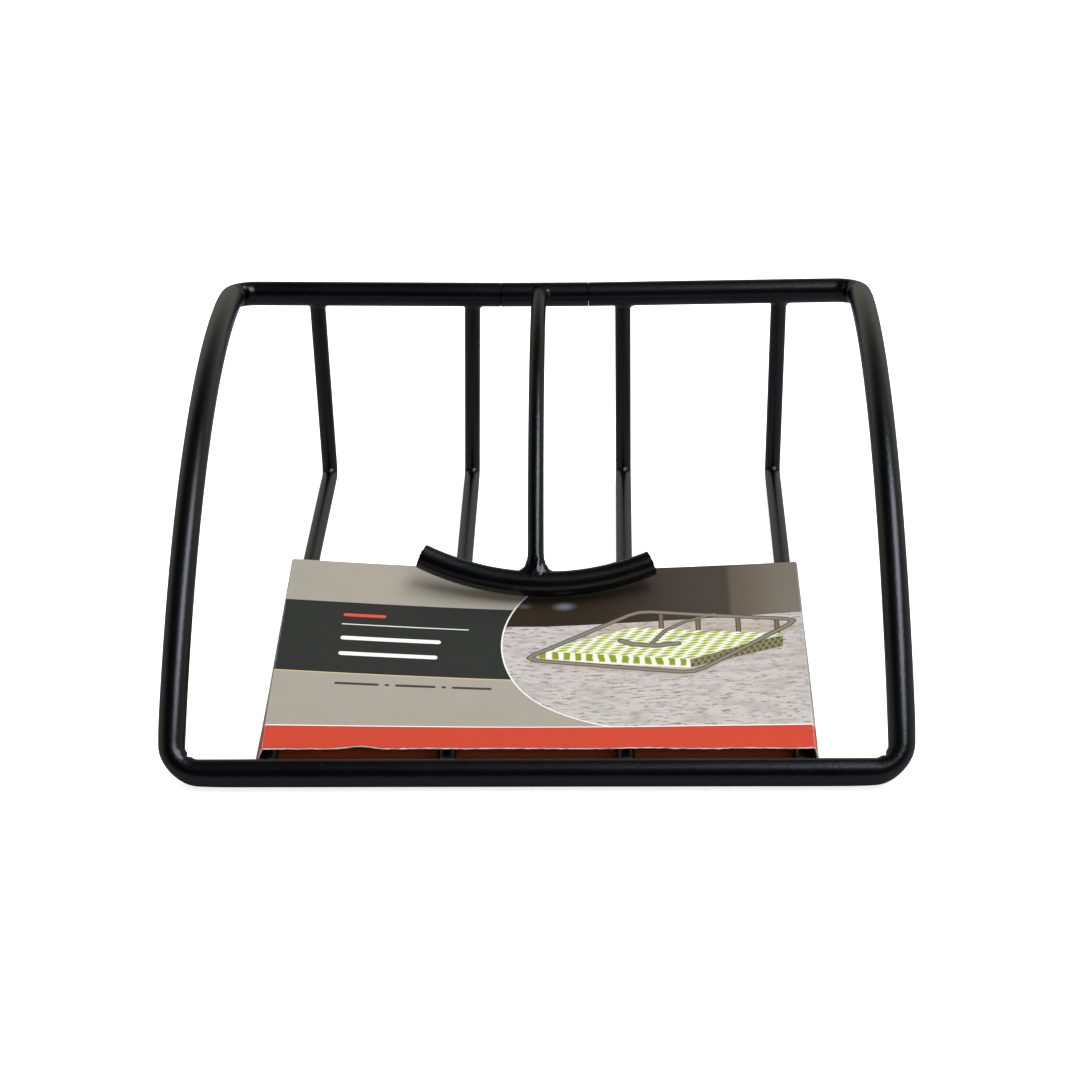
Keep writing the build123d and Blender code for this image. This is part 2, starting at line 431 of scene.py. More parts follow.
def bend_marks(leg, crease, reach, bulge, flat):
    """What bending leaves on a wire: a crease inside the bend, reach long each way, a bulge on
    each side of it, and a flattened outside."""
    start, centre, end = leg[0], leg[len(leg) // 2], leg[-1]
    inward = ((start + end) / 2 - centre).normalized()
    spread = (end - start).length
    marks = [
        Dent(centre, inward, reach, 3, crease),
        Dent(centre, -inward, 0.70 * spread, 2, flat),
    ]
    for share in (0.28, 0.72):
        beside = leg[round(share * (len(leg) - 1))]
        marks.append(Dent(beside, inward, 0.13 * spread, 4, -bulge))
    return marks


# ---- the pieces


def frame_loop_mesh():
    legs = loop_legs()
    left = join(*legs)
    path = left + [mirrored(point) for point in left[-2::-1]]
    path[-1].x = RIGHT_RAIL_END_X
    left_marks = bend_marks(legs[1], 1.2 * MM, 1.0 * MM, 0.32 * MM, 0.95 * MM)
    left_marks += bend_marks(legs[3], 0.45 * MM, 0.9 * MM, 0.22 * MM, 0.85 * MM)
    marks = left_marks + [
        mark._replace(place=mirrored(mark.place), facing=mirrored(mark.facing)) for mark in left_marks
    ]
    rings, tangents = tube_rings(path, RAIL_RADIUS, AROUND_RAIL, marks)
    hole_end = high("pivot_pin").x + PIN_END_PLAY
    body = rings.copy()
    body[0] += tangents[0] * END_CHAMFER
    body[-1] -= tangents[-1] * END_CHAMFER
    start = end_rings(body[0], -tangents[0], END_CHAMFER, PIN_RADIUS, hole_end - RAIL_END_X)
    finish = end_rings(body[-1], tangents[-1], END_CHAMFER, PIN_RADIUS, hole_end - RIGHT_RAIL_END_X)
    whole = np.concatenate([start[::-1], body, finish])
    bare = [1] * (len(start) - 1)
    bands = bare + [0] * (len(body) + 1) + bare
    return skin("frame_loop_mesh", whole, bands=bands)


def nib_mesh(bend):
    """The flat nib of pinched metal in a rib's crease, right of its middle."""
    half_width, half_height, half_depth = 1.25 * MM, 1.1 * MM, 0.5 * MM
    middle = bend[len(bend) // 2]
    inward = ((bend[0] + bend[-1]) / 2 - middle).normalized()
    centre = middle + inward * 2.4 * MM + Vector((0.55 * MM, 0, 0))
    facing = Vector((0.28, -0.58, 0.76)).normalized()
    across = Vector((0, 1, 0)).cross(facing).normalized()
    upward = facing.cross(across)
    rings = []
    for latitude in np.radians(np.linspace(-80, 80, 13)):
        ring = []
        for angle in full_turn(24):
            x, y = math.cos(angle), math.sin(angle)
            spread = math.cos(latitude) * (1 + 0.25 * lump(2 * x, 2 * y, latitude))
            ring.append(centre + facing * (half_depth * math.sin(latitude))
                        + across * (half_width * spread * x) + upward * (half_height * spread * y))
        rings.append(ring)
    return skin("nib", rings)


def rib_mesh(rib):
    legs = rib_legs(rib)
    marks = bend_marks(legs[1], 1.15 * MM, 0.65 * MM, 0.30 * MM, 0.30 * MM)
    hosts = rail_at(legs[0][0]), rail_at(legs[-1][-1])
    wire = skin("wire", welded_wire(join(*legs), RIB_RADIUS, *hosts, marks))
    return merged(rib + "_mesh", [wire, nib_mesh(legs[1])])


Seam = namedtuple("Seam", "root heading radius host reach swell seed lean lumps")
Seam.__doc__ = """Where a wire leaves its host. The weld bead reaches up the wire and swells along
the host; lean pulls it to the right and lumps make it uneven."""


def weld(root, neighbour, radius, host, reach, swell, seed, lean=0.0, lumps=0.35):
    """The seam of a wire that runs from root towards a neighbouring point."""
    heading = np.array((neighbour - root).normalized())
    return Seam(np.array(root), heading, radius, host, reach, swell, seed, lean, lumps)


def roughened(point, outward, seam):
    grain = lump(*point / (0.9 * MM) + (seam.seed, 0, 0))
    pock = lump(*point / (0.45 * MM) + (0, seam.seed, 0))
    return point + outward * (0.16 * grain + 0.07 * pock) * seam.lumps * seam.swell


def bead_column(angle, spoke, seam):
    """One cross-section of a bead, from inside the host, out, up the wire and back."""
    host, heading = seam.host, seam.heading

    def on_host(size, sink=0.0):
        return host.skin_points(seam.root + spoke * size, -heading, sink)

    wobble = lump(2.2 * math.cos(angle), 2.2 * math.sin(angle), seam.seed)
    ripple = lump(6 * math.cos(angle), 6 * math.sin(angle), seam.seed + 7)
    bias = 1 + spoke[0] * seam.lean
    toe = seam.radius + seam.swell * bias * (1 + seam.lumps * (wobble + 0.4 * ripple))
    limit = 0.97 * host.radius / max(np.linalg.norm(host.off_axis(spoke)), 0.05)
    toe = min(toe, limit - abs(host.off_axis(seam.root - host.place) @ spoke))
    foot = on_host(seam.radius)
    toe_point = on_host(toe)
    tip_point = foot + heading * (seam.reach * bias * (1 + seam.lumps * ripple))
    bend_point = foot + spoke * (0.12 * seam.swell) + heading * (0.10 * seam.reach)
    column = [on_host(toe, SINK), toe_point]
    for share in np.linspace(0, 1, BEAD_FLANK)[1:-1]:
        point = ((1 - share) ** 2 * toe_point + 2 * share * (1 - share) * bend_point
                 + share ** 2 * tip_point)
        column.append(roughened(point, spoke + heading, seam))
    return column + [tip_point, tip_point - spoke * SINK, on_host(seam.radius - SINK, SINK)]


def bead_mesh(name, seam):
    """A lumpy ring with a hollow flank, round a wire where it meets its host."""
    side = seam.host.axis - seam.heading * seam.heading.dot(seam.host.axis)
    side /= np.linalg.norm(side)
    across = np.cross(seam.heading, side)
    rings = []
    for angle in full_turn(AROUND_BEAD):
        spoke = math.cos(angle) * side + math.sin(angle) * across
        rings.append(bead_column(angle, spoke, seam))
    return skin(name, rings, looped=True)


def rib_weld_meshes():
    """The beads along the front rail, and those along the rear rail."""
    front_beads = []
    rear_beads = []
    sizes = (RIB_WELD_REACH, RIB_WELD_SWELL)
    for order, rib in enumerate(RIBS):
        legs = rib_legs(rib)
        front, top = legs[0][0], legs[-1][-1]
        front_weld = weld(front, legs[0][-1], RIB_RADIUS, rail_at(front), *sizes, 3.0 + order)
        rear_weld = weld(top, legs[-1][0], RIB_RADIUS, rail_at(top), *sizes, 13.0 + order, 0.35)
        front_beads.append(bead_mesh("bead", front_weld))
        rear_beads.append(bead_mesh("bead", rear_weld))
    return merged("front_beads_mesh", front_beads), merged("rear_beads_mesh", rear_beads)


def barrel_mesh():
    """The pivot's turning tube, with bare chamfered ends and a bore."""
    bore = PIN_RADIUS + PIN_CLEARANCE
    profile = []
    for end, face in ((-1, BARREL_LEFT_X), (1, BARREL_HALF)):
        edge = [(face - end * END_CHAMFER, RAIL_RADIUS), (face, RAIL_RADIUS - END_CHAMFER),
                (face, bore + END_CHAMFER), (face - end * END_CHAMFER, bore)]
        profile.append(edge)
    inner_run = [(x, bore) for x in np.linspace(BARREL_LEFT_X, BARREL_HALF, 12)[1:-1]]
    outer_run = [(x, RAIL_RADIUS) for x in np.linspace(BARREL_HALF, BARREL_LEFT_X, 24)[1:-1]]
    outline = profile[0] + inner_run + profile[1][::-1] + outer_run
    rings = []
    for x, radius in outline:
        rings.append([(x, PIVOT.y + radius * math.cos(angle), PIVOT.z + radius * math.sin(angle))
                      for angle in full_turn(AROUND_RAIL)])
    last_bare = len(profile[0]) + len(inner_run) + len(profile[1]) - 2
    bands = [1 if 0 < step < last_bare else 0 for step in range(len(rings))]
    return skin("barrel_mesh", rings, looped=True, bands=bands)


def bar_mesh(path):
    burr = Dent(path[0], Vector((-0.3, 0.5, 0.8)).normalized(), 0.6 * MM, 30, -0.7 * MM)
    rings, tangents = tube_rings(path, BAR_RADIUS, AROUND_RAIL, [burr])
    rough = 0.34 * MM
    chamfer = 0.12 * MM
    start = end_rings(rings[0], -tangents[0], chamfer, rough=rough)
    finish = end_rings(rings[-1], tangents[-1], chamfer, rough=rough)
    return skin("bar_mesh", np.concatenate([start[::-1], rings, finish]))


# ---- the card sleeve

# The sheet is described by u, across it from the middle of the top, and v, from its front
# edge to its rear one. Both are in millimetres, as printed.
PRINT_DEPTH = CARD_DEPTH / MM
TOP_HALF = CARD_TOP_HALF / MM
TOP_POINTS = 181
CARD_WALL_BOW = 0.12 * MM
TORN_SHARE = 0.06                   # how much of the depth the torn front edge disturbs
NOTCH_U = -44.5
NOTCH_WIDTH = 4.2
NOTCH_DEPTH = 1.5


def smooth(value):
    value = min(max(value, 0.0), 1.0)
    return value * value * (3 - 2 * value)


def fold_height(share):
    """Height of the top's side folds, share of the way from the front edge to the rear."""
    return CARD_FRONT_HEIGHT + (CARD_REAR_HEIGHT - CARD_FRONT_HEIGHT) * share


def card_height(x, share):
    """Height of the sagging top at x."""
    sag = CARD_SAG * smooth(share * 2.3) ** 0.8
    crown = 1 - min(1.0, abs(x) / CARD_TOP_HALF) ** 1.35
    ripple = lump(x / (31 * MM), share * 2.1, 4.0) * 0.16 * MM
    return fold_height(share) - sag * crown + ripple * crown


def torn(u, seed):
    """How far the torn front edge wanders, in millimetres; positive is towards the rear."""
    slow = lump(u / 17, seed, 0)
    jagged = lump(u / 1.7, seed, 3) + 0.6 * lump(u / 0.6, seed, 5)
    notch = math.exp(-((u - NOTCH_U) / NOTCH_WIDTH) ** 2)
    return 0.6 + 0.75 * slow + 0.24 * jagged + NOTCH_DEPTH * notch


def sheet_outline(share, inset):
    """Points (x, z) round one cross-section of the sleeve, clockwise from the top's left
    fold; inset moves them in from the outer face."""
    top_half = CARD_TOP_HALF - inset
    base_half = CARD_BASE_HALF - inset
    fold = max(CARD_FOLD - inset, 0.12 * MM)
    low_z = CARD_BASE_Z + inset
    wall_top = fold_height(share) - inset

    def fold_arc(half, z, angles):
        return [(half - fold + fold * math.cos(angle), z + fold * math.sin(angle))
                for angle in np.radians(angles)]

    wall = fold_arc(top_half, wall_top - fold, np.linspace(80, 10, 5))
    for rise in np.linspace(0.93, 0.07, 9):
        width = base_half + (top_half - base_half) * rise
        bow = CARD_WALL_BOW * math.sin(math.pi * rise)
        wall.append((width + bow, low_z + (wall_top - low_z) * rise))
    wall += fold_arc(base_half, low_z + fold, np.linspace(-10, -80, 4))
    top = [(x, card_height(x, share) - inset)
           for x in np.linspace(-top_half + fold, top_half - fold, TOP_POINTS)]
    base = [(x, low_z) for x in np.linspace(base_half - fold, -base_half + fold, 61)]
    return top + wall + base + [(-x, z) for x, z in wall[::-1]]


def sheet_u(outline):
    """Distance along the sheet of each outline point from the middle of the top, signed."""
    points = np.array(outline)
    steps = np.linalg.norm(np.diff(points, axis=0), axis=1)
    travelled = np.concatenate([[0], np.cumsum(steps)])
    from_middle = (travelled - travelled[TOP_POINTS // 2]) / MM
    girth = (travelled[-1] + np.linalg.norm(points[0] - points[-1])) / MM
    return np.where(from_middle > girth / 2, from_middle - girth, from_middle)


def card_point(x, z, u, share, inset):
    """Where the bent and torn card has a point of its outline, share of the way to its rear."""
    y = CARD_FRONT_Y + CARD_DEPTH * share - CARD_REAR_SKEW * x / CARD_TOP_HALF * share
    tuck = CARD_TUCK * share * smooth(-x / CARD_TOP_HALF) * smooth(z / CARD_REAR_HEIGHT)
    lean = CARD_LEAN * (1 - share) * smooth((z - CARD_BASE_Z) / CARD_FRONT_HEIGHT)
    x += tuck + lean * (0.75 + 0.25 * x / CARD_TOP_HALF)
    wander = torn(u, 2.0) if abs(u) < TOP_HALF + 1 else 0.3 * torn(u, 9.0)
    y += smooth(1 - share / TORN_SHARE) * wander * MM
    if share == 0:
        y += 0.22 * MM * lump(u / 0.5, inset / MM * 9, 1)
    if inset == CARD_THICKNESS / 2:
        y += (0.10 if share == 1 else -0.18) * MM
    return x, y, z


def card_mesh():
    """A folded sheet: outer rings front to rear, then inner rings rear to front. Each point
    is marked with its u and v, and with 1 on the outer face."""
    shares = list(np.linspace(0, TORN_SHARE, 9)) + list(np.linspace(TORN_SHARE, 1, 72))[1:]
    core = CARD_THICKNESS / 2
    faces = [(share, 0.0) for share in shares] + [(1.0, core)]
    faces += [(share, CARD_THICKNESS) for share in shares[::-1]] + [(0.0, core)]
    us = sheet_u(sheet_outline(0.5, 0))
    rings = []
    marks = []
    for share, inset in faces:
        outline = sheet_outline(share, inset)
        rings.append([card_point(x, z, u, share, inset) for (x, z), u in zip(outline, us)])
        marks += [(u, share * PRINT_DEPTH, 1.0 if inset == 0 else 0.0) for u in us]
    run = len(shares) - 1
    mesh = skin("card_mesh", rings, looped=True, bands=[0] * run + [2, 2] + [1] * run + [2, 2])
    sheet = mesh.attributes.new("sheet", "FLOAT_VECTOR", "POINT")
    sheet.data.foreach_set("vector", np.array(marks, np.float32).ravel())
    return mesh


# ---- material building


def srgb(red, green, blue):
    """A linear colour from the three numbers of a display colour."""
    def linear(value):
        value = value / 255
        return value / 12.92 if value <= 0.04045 else ((value + 0.055) / 1.055) ** 2.4
    return (linear(red), linear(green), linear(blue), 1.0)


class Field:
    """A number that varies over a surface. Arithmetic on it adds math nodes to its material."""

    def __init__(self, shader, socket):
        self.shader = shader
        self.socket = socket

    def apply(self, operation, *others):
        inputs = dict(enumerate((self,) + others))
        node = self.shader.add("ShaderNodeMath", inputs, operation=operation)
        return Field(self.shader, node.outputs[0])

    __add__ = partialmethod(apply, "ADD")
    __sub__ = partialmethod(apply, "SUBTRACT")
    __mul__ = partialmethod(apply, "MULTIPLY")
    __truediv__ = partialmethod(apply, "DIVIDE")
    __abs__ = partialmethod(apply, "ABSOLUTE")
    root = partialmethod(apply, "SQRT")
    fraction = partialmethod(apply, "FRACT")
    floor = partialmethod(apply, "FLOOR")
    least = partialmethod(apply, "MINIMUM")
    most = partialmethod(apply, "MAXIMUM")

    def ramp(self, start, end):
        """0 at start and 1 at end, smooth between them; start may be above end."""
        inputs = {"Value": self, "From Min": start, "From Max": end}
        node = self.shader.add("ShaderNodeMapRange", inputs, interpolation_type="SMOOTHSTEP")
        return Field(self.shader, node.outputs["Result"])

    def between(self, bottom, top):
        """This 0-to-1 field stretched over bottom to top."""
        return self * (top - bottom) + bottom


class Shader:
    """A procedural material, or the world's light, under construction."""

    def __init__(self, name, kind=bpy.data.materials, surface="Principled BSDF"):
        self.result = kind.new(name)
        self.result.use_nodes = True
        self.tree = self.result.node_tree
        self.surface = self.tree.nodes[surface]

    def add(self, kind, inputs=(), **settings):
        node = self.tree.nodes.new(kind)
        for setting, value in settings.items():
            setattr(node, setting, value)
        for name, value in dict(inputs).items():
            self.feed(node.inputs[name], value)
        return node

    def feed(self, socket, value):
        if isinstance(value, Field):
            value = value.socket
        if isinstance(value, bpy.types.NodeSocket):
            self.tree.links.new(value, socket)
        else:
            socket.default_value = value

    def set(self, **inputs):
        """Feeds inputs of the surface; an underscore stands for a space."""
        for name, value in inputs.items():
            self.feed(self.surface.inputs[name.replace("_", " ")], value)

    def stretched(self, vector, scale):
        return self.add("ShaderNodeMapping", {"Vector": vector, "Scale": scale}).outputs["Vector"]

    def place(self, stretch=(1, 1, 1)):
        """The point on the object in millimetres, stretched."""
        point = self.add("ShaderNodeTexCoord").outputs["Object"]
        return self.stretched(point, [scale / MM for scale in stretch])

    def sheet(self):
        """Where a point of the card lies on its flat sheet: u, v, and 1 on the outer face."""
        return self.add("ShaderNodeAttribute", attribute_name="sheet").outputs["Vector"]

    def split(self, vector):
        node = self.add("ShaderNodeSeparateXYZ", {0: vector})
        return [Field(self, output) for output in node.outputs]

    def noise(self, place, scale, detail=2.0, roughness=0.5):
        inputs = {"Vector": place, "Scale": scale, "Detail": detail, "Roughness": roughness}
        return Field(self, self.add("ShaderNodeTexNoise", inputs).outputs["Fac"])

    def cells(self, place, scale):
        """Distance to the nearest of scattered points, and a random number for each."""
        node = self.add("ShaderNodeTexVoronoi", {"Vector": place, "Scale": scale})
        shade = self.add("ShaderNodeSeparateColor", {0: node.outputs["Color"]})
        return Field(self, node.outputs["Distance"]), Field(self, shade.outputs[0])

    def mix(self, factor, first, second):
        inputs = {0: factor, 6: first, 7: second}
        return self.add("ShaderNodeMix", inputs, data_type="RGBA").outputs[2]

    def bump(self, height, distance, normal=None):
        inputs = {"Distance": distance, "Height": height}
        if normal is not None:
            inputs["Normal"] = normal
        return self.add("ShaderNodeBump", inputs).outputs["Normal"]


class Paint:
    """Inks or stains laid one over another."""

    def __init__(self, shader, ground):
        self.shader, self.colour = shader, ground

    def over(self, cover, ink):
        self.colour = self.shader.mix(cover, self.colour, ink)


# ---- metal finishes

COAT_DARK = srgb(2, 2, 3)
COAT_LIGHT = srgb(5, 5, 6)
DUST = srgb(120, 120, 116)
RUBBED = srgb(52, 52, 54)
OIL_STAIN = srgb(96, 80, 58)


def powder_coat(name, lumpy):
    """Satin black powder coat: orange peel, slow changes of sheen, a little dust and rubbing."""
    shader = Shader(name)
    place = shader.place()
    patches = shader.noise(place, 0.05, detail=3)
    peel = shader.noise(place, 1.1)
    grain = shader.noise(place, 6.0, detail=3, roughness=0.6)
    distance, chance = shader.cells(place, 0.45)
    speck = distance.ramp(0.075, 0.03) * chance.ramp(0.93, 0.95)
    height = shader.split(place)[2]
    rubbed = height.ramp(0.5, 0.05) * grain.ramp(0.35, 0.65)
    paint = Paint(shader, shader.mix(patches.ramp(0.3, 0.7), COAT_DARK, COAT_LIGHT))
    paint.over(rubbed * 0.5, RUBBED)
    paint.over(speck * 0.4, DUST)
    sheen = patches.between(0.25, 0.33) + grain.between(-0.04, 0.04) + rubbed * 0.15
    normal = shader.bump(peel, (0.10 if lumpy else 0.05) * MM)
    normal = shader.bump(grain, 0.012 * MM, normal=normal)
    if lumpy:
        pits, pit_chance = shader.cells(place, 1.3)
        pit = pits.ramp(0.30, 0.12) * pit_chance.ramp(0.6, 0.7)
        normal = shader.bump(pit, -0.12 * MM, normal=normal)
        sheen = sheen - 0.06
    shader.set(Base_Color=paint.colour, Roughness=sheen, Normal=normal)
    return shader.result


def bare_steel(name, stretch, tint, rough):
    """Drawn steel: fine lines along the wire, with a thin film of oil and a few dark stains."""
    shader = Shader(name)
    lines = shader.noise(shader.place(stretch), 5.0, detail=4, roughness=0.65)
    stains = shader.noise(shader.place(), 0.9, detail=4)
    shade = srgb(*(round(value * 0.72) for value in tint))
    paint = Paint(shader, shader.mix(lines, shade, srgb(*tint)))
    paint.over(stains.ramp(0.55, 0.75) * 0.6, OIL_STAIN)
    normal = shader.bump(lines, 0.02 * MM)
    shader.set(Base_Color=paint.colour, Metallic=1.0, Roughness=lines.between(*rough), Normal=normal)
    return shader.result


# ---- the printed card

# Printed colours, and the layout in sheet millimetres
PAPER = srgb(152, 146, 132)
PAPER_SHADE = srgb(145, 139, 126)
WHITE_INK = srgb(226, 224, 218)
CHARCOAL = srgb(38, 39, 36)
STRIPE_RED = srgb(181, 59, 36)
TEXT_RED = srgb(206, 70, 50)
TEXT_DARK = srgb(58, 54, 50)
WALL_DARK = srgb(40, 30, 18)
WALL_LIGHT = srgb(60, 53, 46)
WALL_BLOCK = srgb(84, 76, 64)
WALL_BLOCK_LIGHT = srgb(112, 105, 92)
STONE = srgb(179, 173, 166)
STONE_FLECK = srgb(112, 106, 100)
STONE_DRIFT = srgb(156, 150, 143)
STONE_GRIT = srgb(96, 88, 86)
STONE_SHADOW = srgb(150, 130, 104)
NAPKIN = srgb(214, 214, 196)
NAPKIN_SHADE = srgb(122, 116, 88)
GREEN = srgb(146, 160, 40)
GREEN_DEEP = srgb(124, 136, 26)
GREEN_SHADE = srgb(80, 82, 34)
WIRE_EDGE = srgb(64, 56, 44)
WIRE_SHINE = srgb(122, 115, 101)
POST = srgb(108, 98, 72)
FOLD_LINE = srgb(196, 176, 120)
WORN = srgb(206, 202, 192)
DIRT = srgb(120, 46, 30)
# a red tint for the inside of the board near its front edge
INSIDE_FRONT_RED = srgb(176, 72, 34)
# painted highlights: pale blue-grey spots in the card's colour that stand in for its glossy reflections
# just in front of the weight bar
PAINTED_HIGHLIGHT = srgb(176, 178, 196)
PAINTED_HIGHLIGHTS = ((-4.6, 66.2, 3.0, 0.15), (6.2, 66.2, 4.2, 0.36))    # u, v, reach, strength
PAINTED_HIGHLIGHT_NARROW = 0.62                    # a painted highlight's depth as a share of its width
STRIPE_TOP = 9.9
HAIRLINE = 0.38
BAND = (33.4, 64.4)                  # its front and rear edges
BAND_SPAN = (-200, -5)               # from beyond the left side to under the round picture
FOLD_WIDTH = 0.35
RING_CENTRE = (30.4, 48.9)
RING_RADIUS = 40.4
SOFT = 0.10                          # half width of a printed edge's blur
RULE = (-53.4, -19.2, 54.5, 54.85)   # left, right, bottom, top
TEXT_LEFT = -53.3
WORD_GAP = 1.5
TEXT_ROWS = (                        # centre, height, widths of the words' bars, ink
    (58.8, 1.3, (11.6,), TEXT_RED),
    (48.6, 1.6, (26.9,), WHITE_INK),
    (41.8, 1.6, (26.3,), WHITE_INK),
    (28.8, 1.0, (11.6, 1.2, 10.6, 1.2, 10.4), TEXT_DARK),
)
RIM_CORNERS = ((-4.3, 42.6), (26.2, 63.0), (68.6, 56.0), (40.4, 34.6))
RIM_CUT = 3.4                        # how far a rounded corner of the rim reaches along it


def inked(distance):
    """1 inside a printed shape, 0 outside it, from the distance to its outline."""
    return distance.ramp(SOFT, -SOFT)


def strip_distance(u, v, left, right, bottom, top):
    across = abs(u - (left + right) / 2) - (right - left) / 2
    along = abs(v - (bottom + top) / 2) - (top - bottom) / 2
    return across.most(along)


def stroke_distance(u, v, start, end, width):
    """Distance to a straight stroke with round ends."""
    du, dv = end[0] - start[0], end[1] - start[1]
    pu, pv = u - start[0], v - start[1]
    share = ((pu * du + pv * dv) / (du * du + dv * dv)).most(0.0).least(1.0)
    away_u, away_v = pu - share * du, pv - share * dv
    return (away_u * away_u + away_v * away_v).root() - width / 2


def nearest(distances):
    return reduce(Field.least, distances)


def text_bars(u, v, centre_v, height, widths):
    """A row of round-ended bars, each in place of words that are left out."""
    bars = []
    left = TEXT_LEFT
    for width in widths:
        start = (left + height / 2, centre_v)
        end = (left + width - height / 2, centre_v)
        bars.append(stroke_distance(u, v, start, end, height))
        left += width + WORD_GAP
    return nearest(bars)


def skewed(u, v, origin, first, second):
    """Coordinates of a point along two slanted edges, in shares of each edge."""
    area = first[0] * second[1] - first[1] * second[0]
    du, dv = u - origin[0], v - origin[1]
    return (du * second[1] - dv * second[0]) / area, (dv * first[0] - du * first[1]) / area


def panel_distance(s, t, size):
    """Distance to the outline of the panel that skewed coordinates run over, about to scale."""
    return (abs(s - 0.5) * size[0] - size[0] / 2).most(abs(t - 0.5) * size[1] - size[1] / 2)


def weave(shader, s, t, columns, rows, light, dark):
    """A woven check of blocks, every other row half a block along."""
    row = t * rows
    along = s * columns + row.floor() * 0.5
    block = along.fraction().ramp(0.40, 0.50) * row.fraction().ramp(0.10, 0.28)
    return shader.mix(block, light, dark)


def polyline_distance(u, v, stops, width):
    pairs = zip(stops, stops[1:])
    return nearest([stroke_distance(u, v, start, end, width) for start, end in pairs])


def rounded(corners, cut):
    """A closed line round corners, each replaced by three stops that round it off."""
    stops = []
    for before, corner, after in zip(corners[-1:] + corners[:-1], corners, corners[1:] + corners[:1]):
        corner = Vector(corner)
        into = corner + (Vector(before) - corner).normalized() * cut
        out_of = corner + (Vector(after) - corner).normalized() * cut
        stops += [into, (into + corner * 2 + out_of) / 4, out_of]
    return stops + stops[:1]


def wall(shader, u):
    """The picture's dark wall, with a paler block at its right."""
    plain = shader.mix(u.ramp(8, 50), WALL_DARK, WALL_LIGHT)
    block = shader.mix(u.ramp(50, 72), WALL_BLOCK, WALL_BLOCK_LIGHT)
    return shader.mix(u.ramp(49.8, 51.6), plain, block)


def worktop(shader, grid):
    """The picture's worktop: stone with flecks, drifts and grit that lie along it."""
    flecks = shader.noise(shader.stretched(grid, (0.30, 1.05, 1.0)), 1.0, detail=6, roughness=0.72)
    drifts = shader.noise(shader.stretched(grid, (0.14, 0.55, 1.0)), 0.7, detail=3)
    grit = shader.noise(shader.stretched(grid, (1.2, 2.6, 1.0)), 1.0)
    stone = Paint(shader, shader.mix(flecks.ramp(0.36, 0.51), STONE_FLECK, STONE))
    stone.over(drifts.ramp(0.48, 0.64) * 0.6, STONE_DRIFT)
    stone.over(grit.ramp(0.64, 0.74) * 0.6, STONE_GRIT)
    return stone.colour


def print_posts(paint, u, v):
    """The printed holder's wires that stand behind the napkins."""
    _, rear_left, rear_right, _ = RIM_CORNERS
    heads = [Vector(rear_left).lerp(Vector(rear_right), share) for share in (0.14, 0.37, 0.62, 0.86)]
    posts = nearest([stroke_distance(u, v, head, head - Vector((0, 7.0)), 1.4) for head in heads])
    paint.over(inked(posts), paint.shader.mix(posts.ramp(-0.1, -0.5), WIRE_EDGE, POST))


def print_napkins(paint, u, v, grid):
    """The napkin stack: its shaded right side, its front and its top, each a woven check."""
    sides = (
        ((39.4, 36.9), (24.4, 7.4), (0.2, 4.8), (25, 4.8), 15, 3, NAPKIN_SHADE, GREEN_SHADE),
        ((-0.3, 42.0), (39.7, -5.2), (-0.2, 4.2), (40, 4.2), 13, 1, NAPKIN, GREEN_DEEP),
        ((-0.5, 46.2), (40.2, -5.6), (25.0, 9.4), (40, 12), 12, 10, NAPKIN, GREEN),
    )
    creases = paint.shader.noise(grid, 0.22)
    for origin, first, second, size, columns, rows, light, dark in sides:
        s, t = skewed(u, v, origin, first, second)
        face = inked(panel_distance(s, t, size))
        paint.over(face, weave(paint.shader, s + creases * 0.05, t, columns, rows, light, dark))


def print_wires(paint, u, v):
    """The printed holder's rim, arm and weight bar, and the arm's shadow on the napkins."""
    rim = polyline_distance(u, v, rounded(RIM_CORNERS, RIM_CUT), 1.7)
    arm = polyline_distance(u, v, ((46.4, 60.3), (38.4, 57.4), (33.2, 53.8), (29.5, 48.2)), 1.3)
    bar = polyline_distance(u, v, ((21.4, 49.8), (24.4, 48.1), (29.6, 47.2), (36.2, 47.7)), 2.0)
    arm_shade = stroke_distance(u, v, (48.0, 53.2), (35.5, 50.4), 0.9)
    paint.over(inked(arm_shade) * 0.45, GREEN_SHADE)
    wires = nearest([rim, arm, bar])
    paint.over(inked(wires), paint.shader.mix(wires.ramp(-0.1, -0.55), WIRE_EDGE, WIRE_SHINE))


def picture(shader, u, v, grid):
    """The printed picture: folded napkins in a wire holder on a stone worktop."""
    horizon = v - u * 0.035 - 57.0
    paint = Paint(shader, worktop(shader, grid))
    paint.over(horizon.ramp(-SOFT, SOFT), wall(shader, u))
    s, t = skewed(u, v, (-3.0, 40.4), (43.0, -7.0), (28.5, 20.5))
    shadow = panel_distance(s, t, (44, 34)).ramp(2.2, -1.0) * horizon.ramp(0.0, -1.0)
    paint.over(shadow * 0.38, STONE_SHADOW)
    print_posts(paint, u, v)
    print_napkins(paint, u, v, grid)
    print_wires(paint, u, v)
    return paint.colour


def print_band(paint, u, v):
    """The charcoal band across the top and the left side, and the marks in place of text."""
    bottom, top = BAND
    paint.over(inked(strip_distance(u, v, *BAND_SPAN, bottom - FOLD_WIDTH, bottom)), FOLD_LINE)
    paint.over(inked(strip_distance(u, v, *BAND_SPAN, bottom, top)), CHARCOAL)
    paint.over(inked(strip_distance(u, v, *RULE)), WHITE_INK)
    for centre_v, height, widths, ink in TEXT_ROWS:
        paint.over(inked(text_bars(u, v, centre_v, height, widths)), ink)


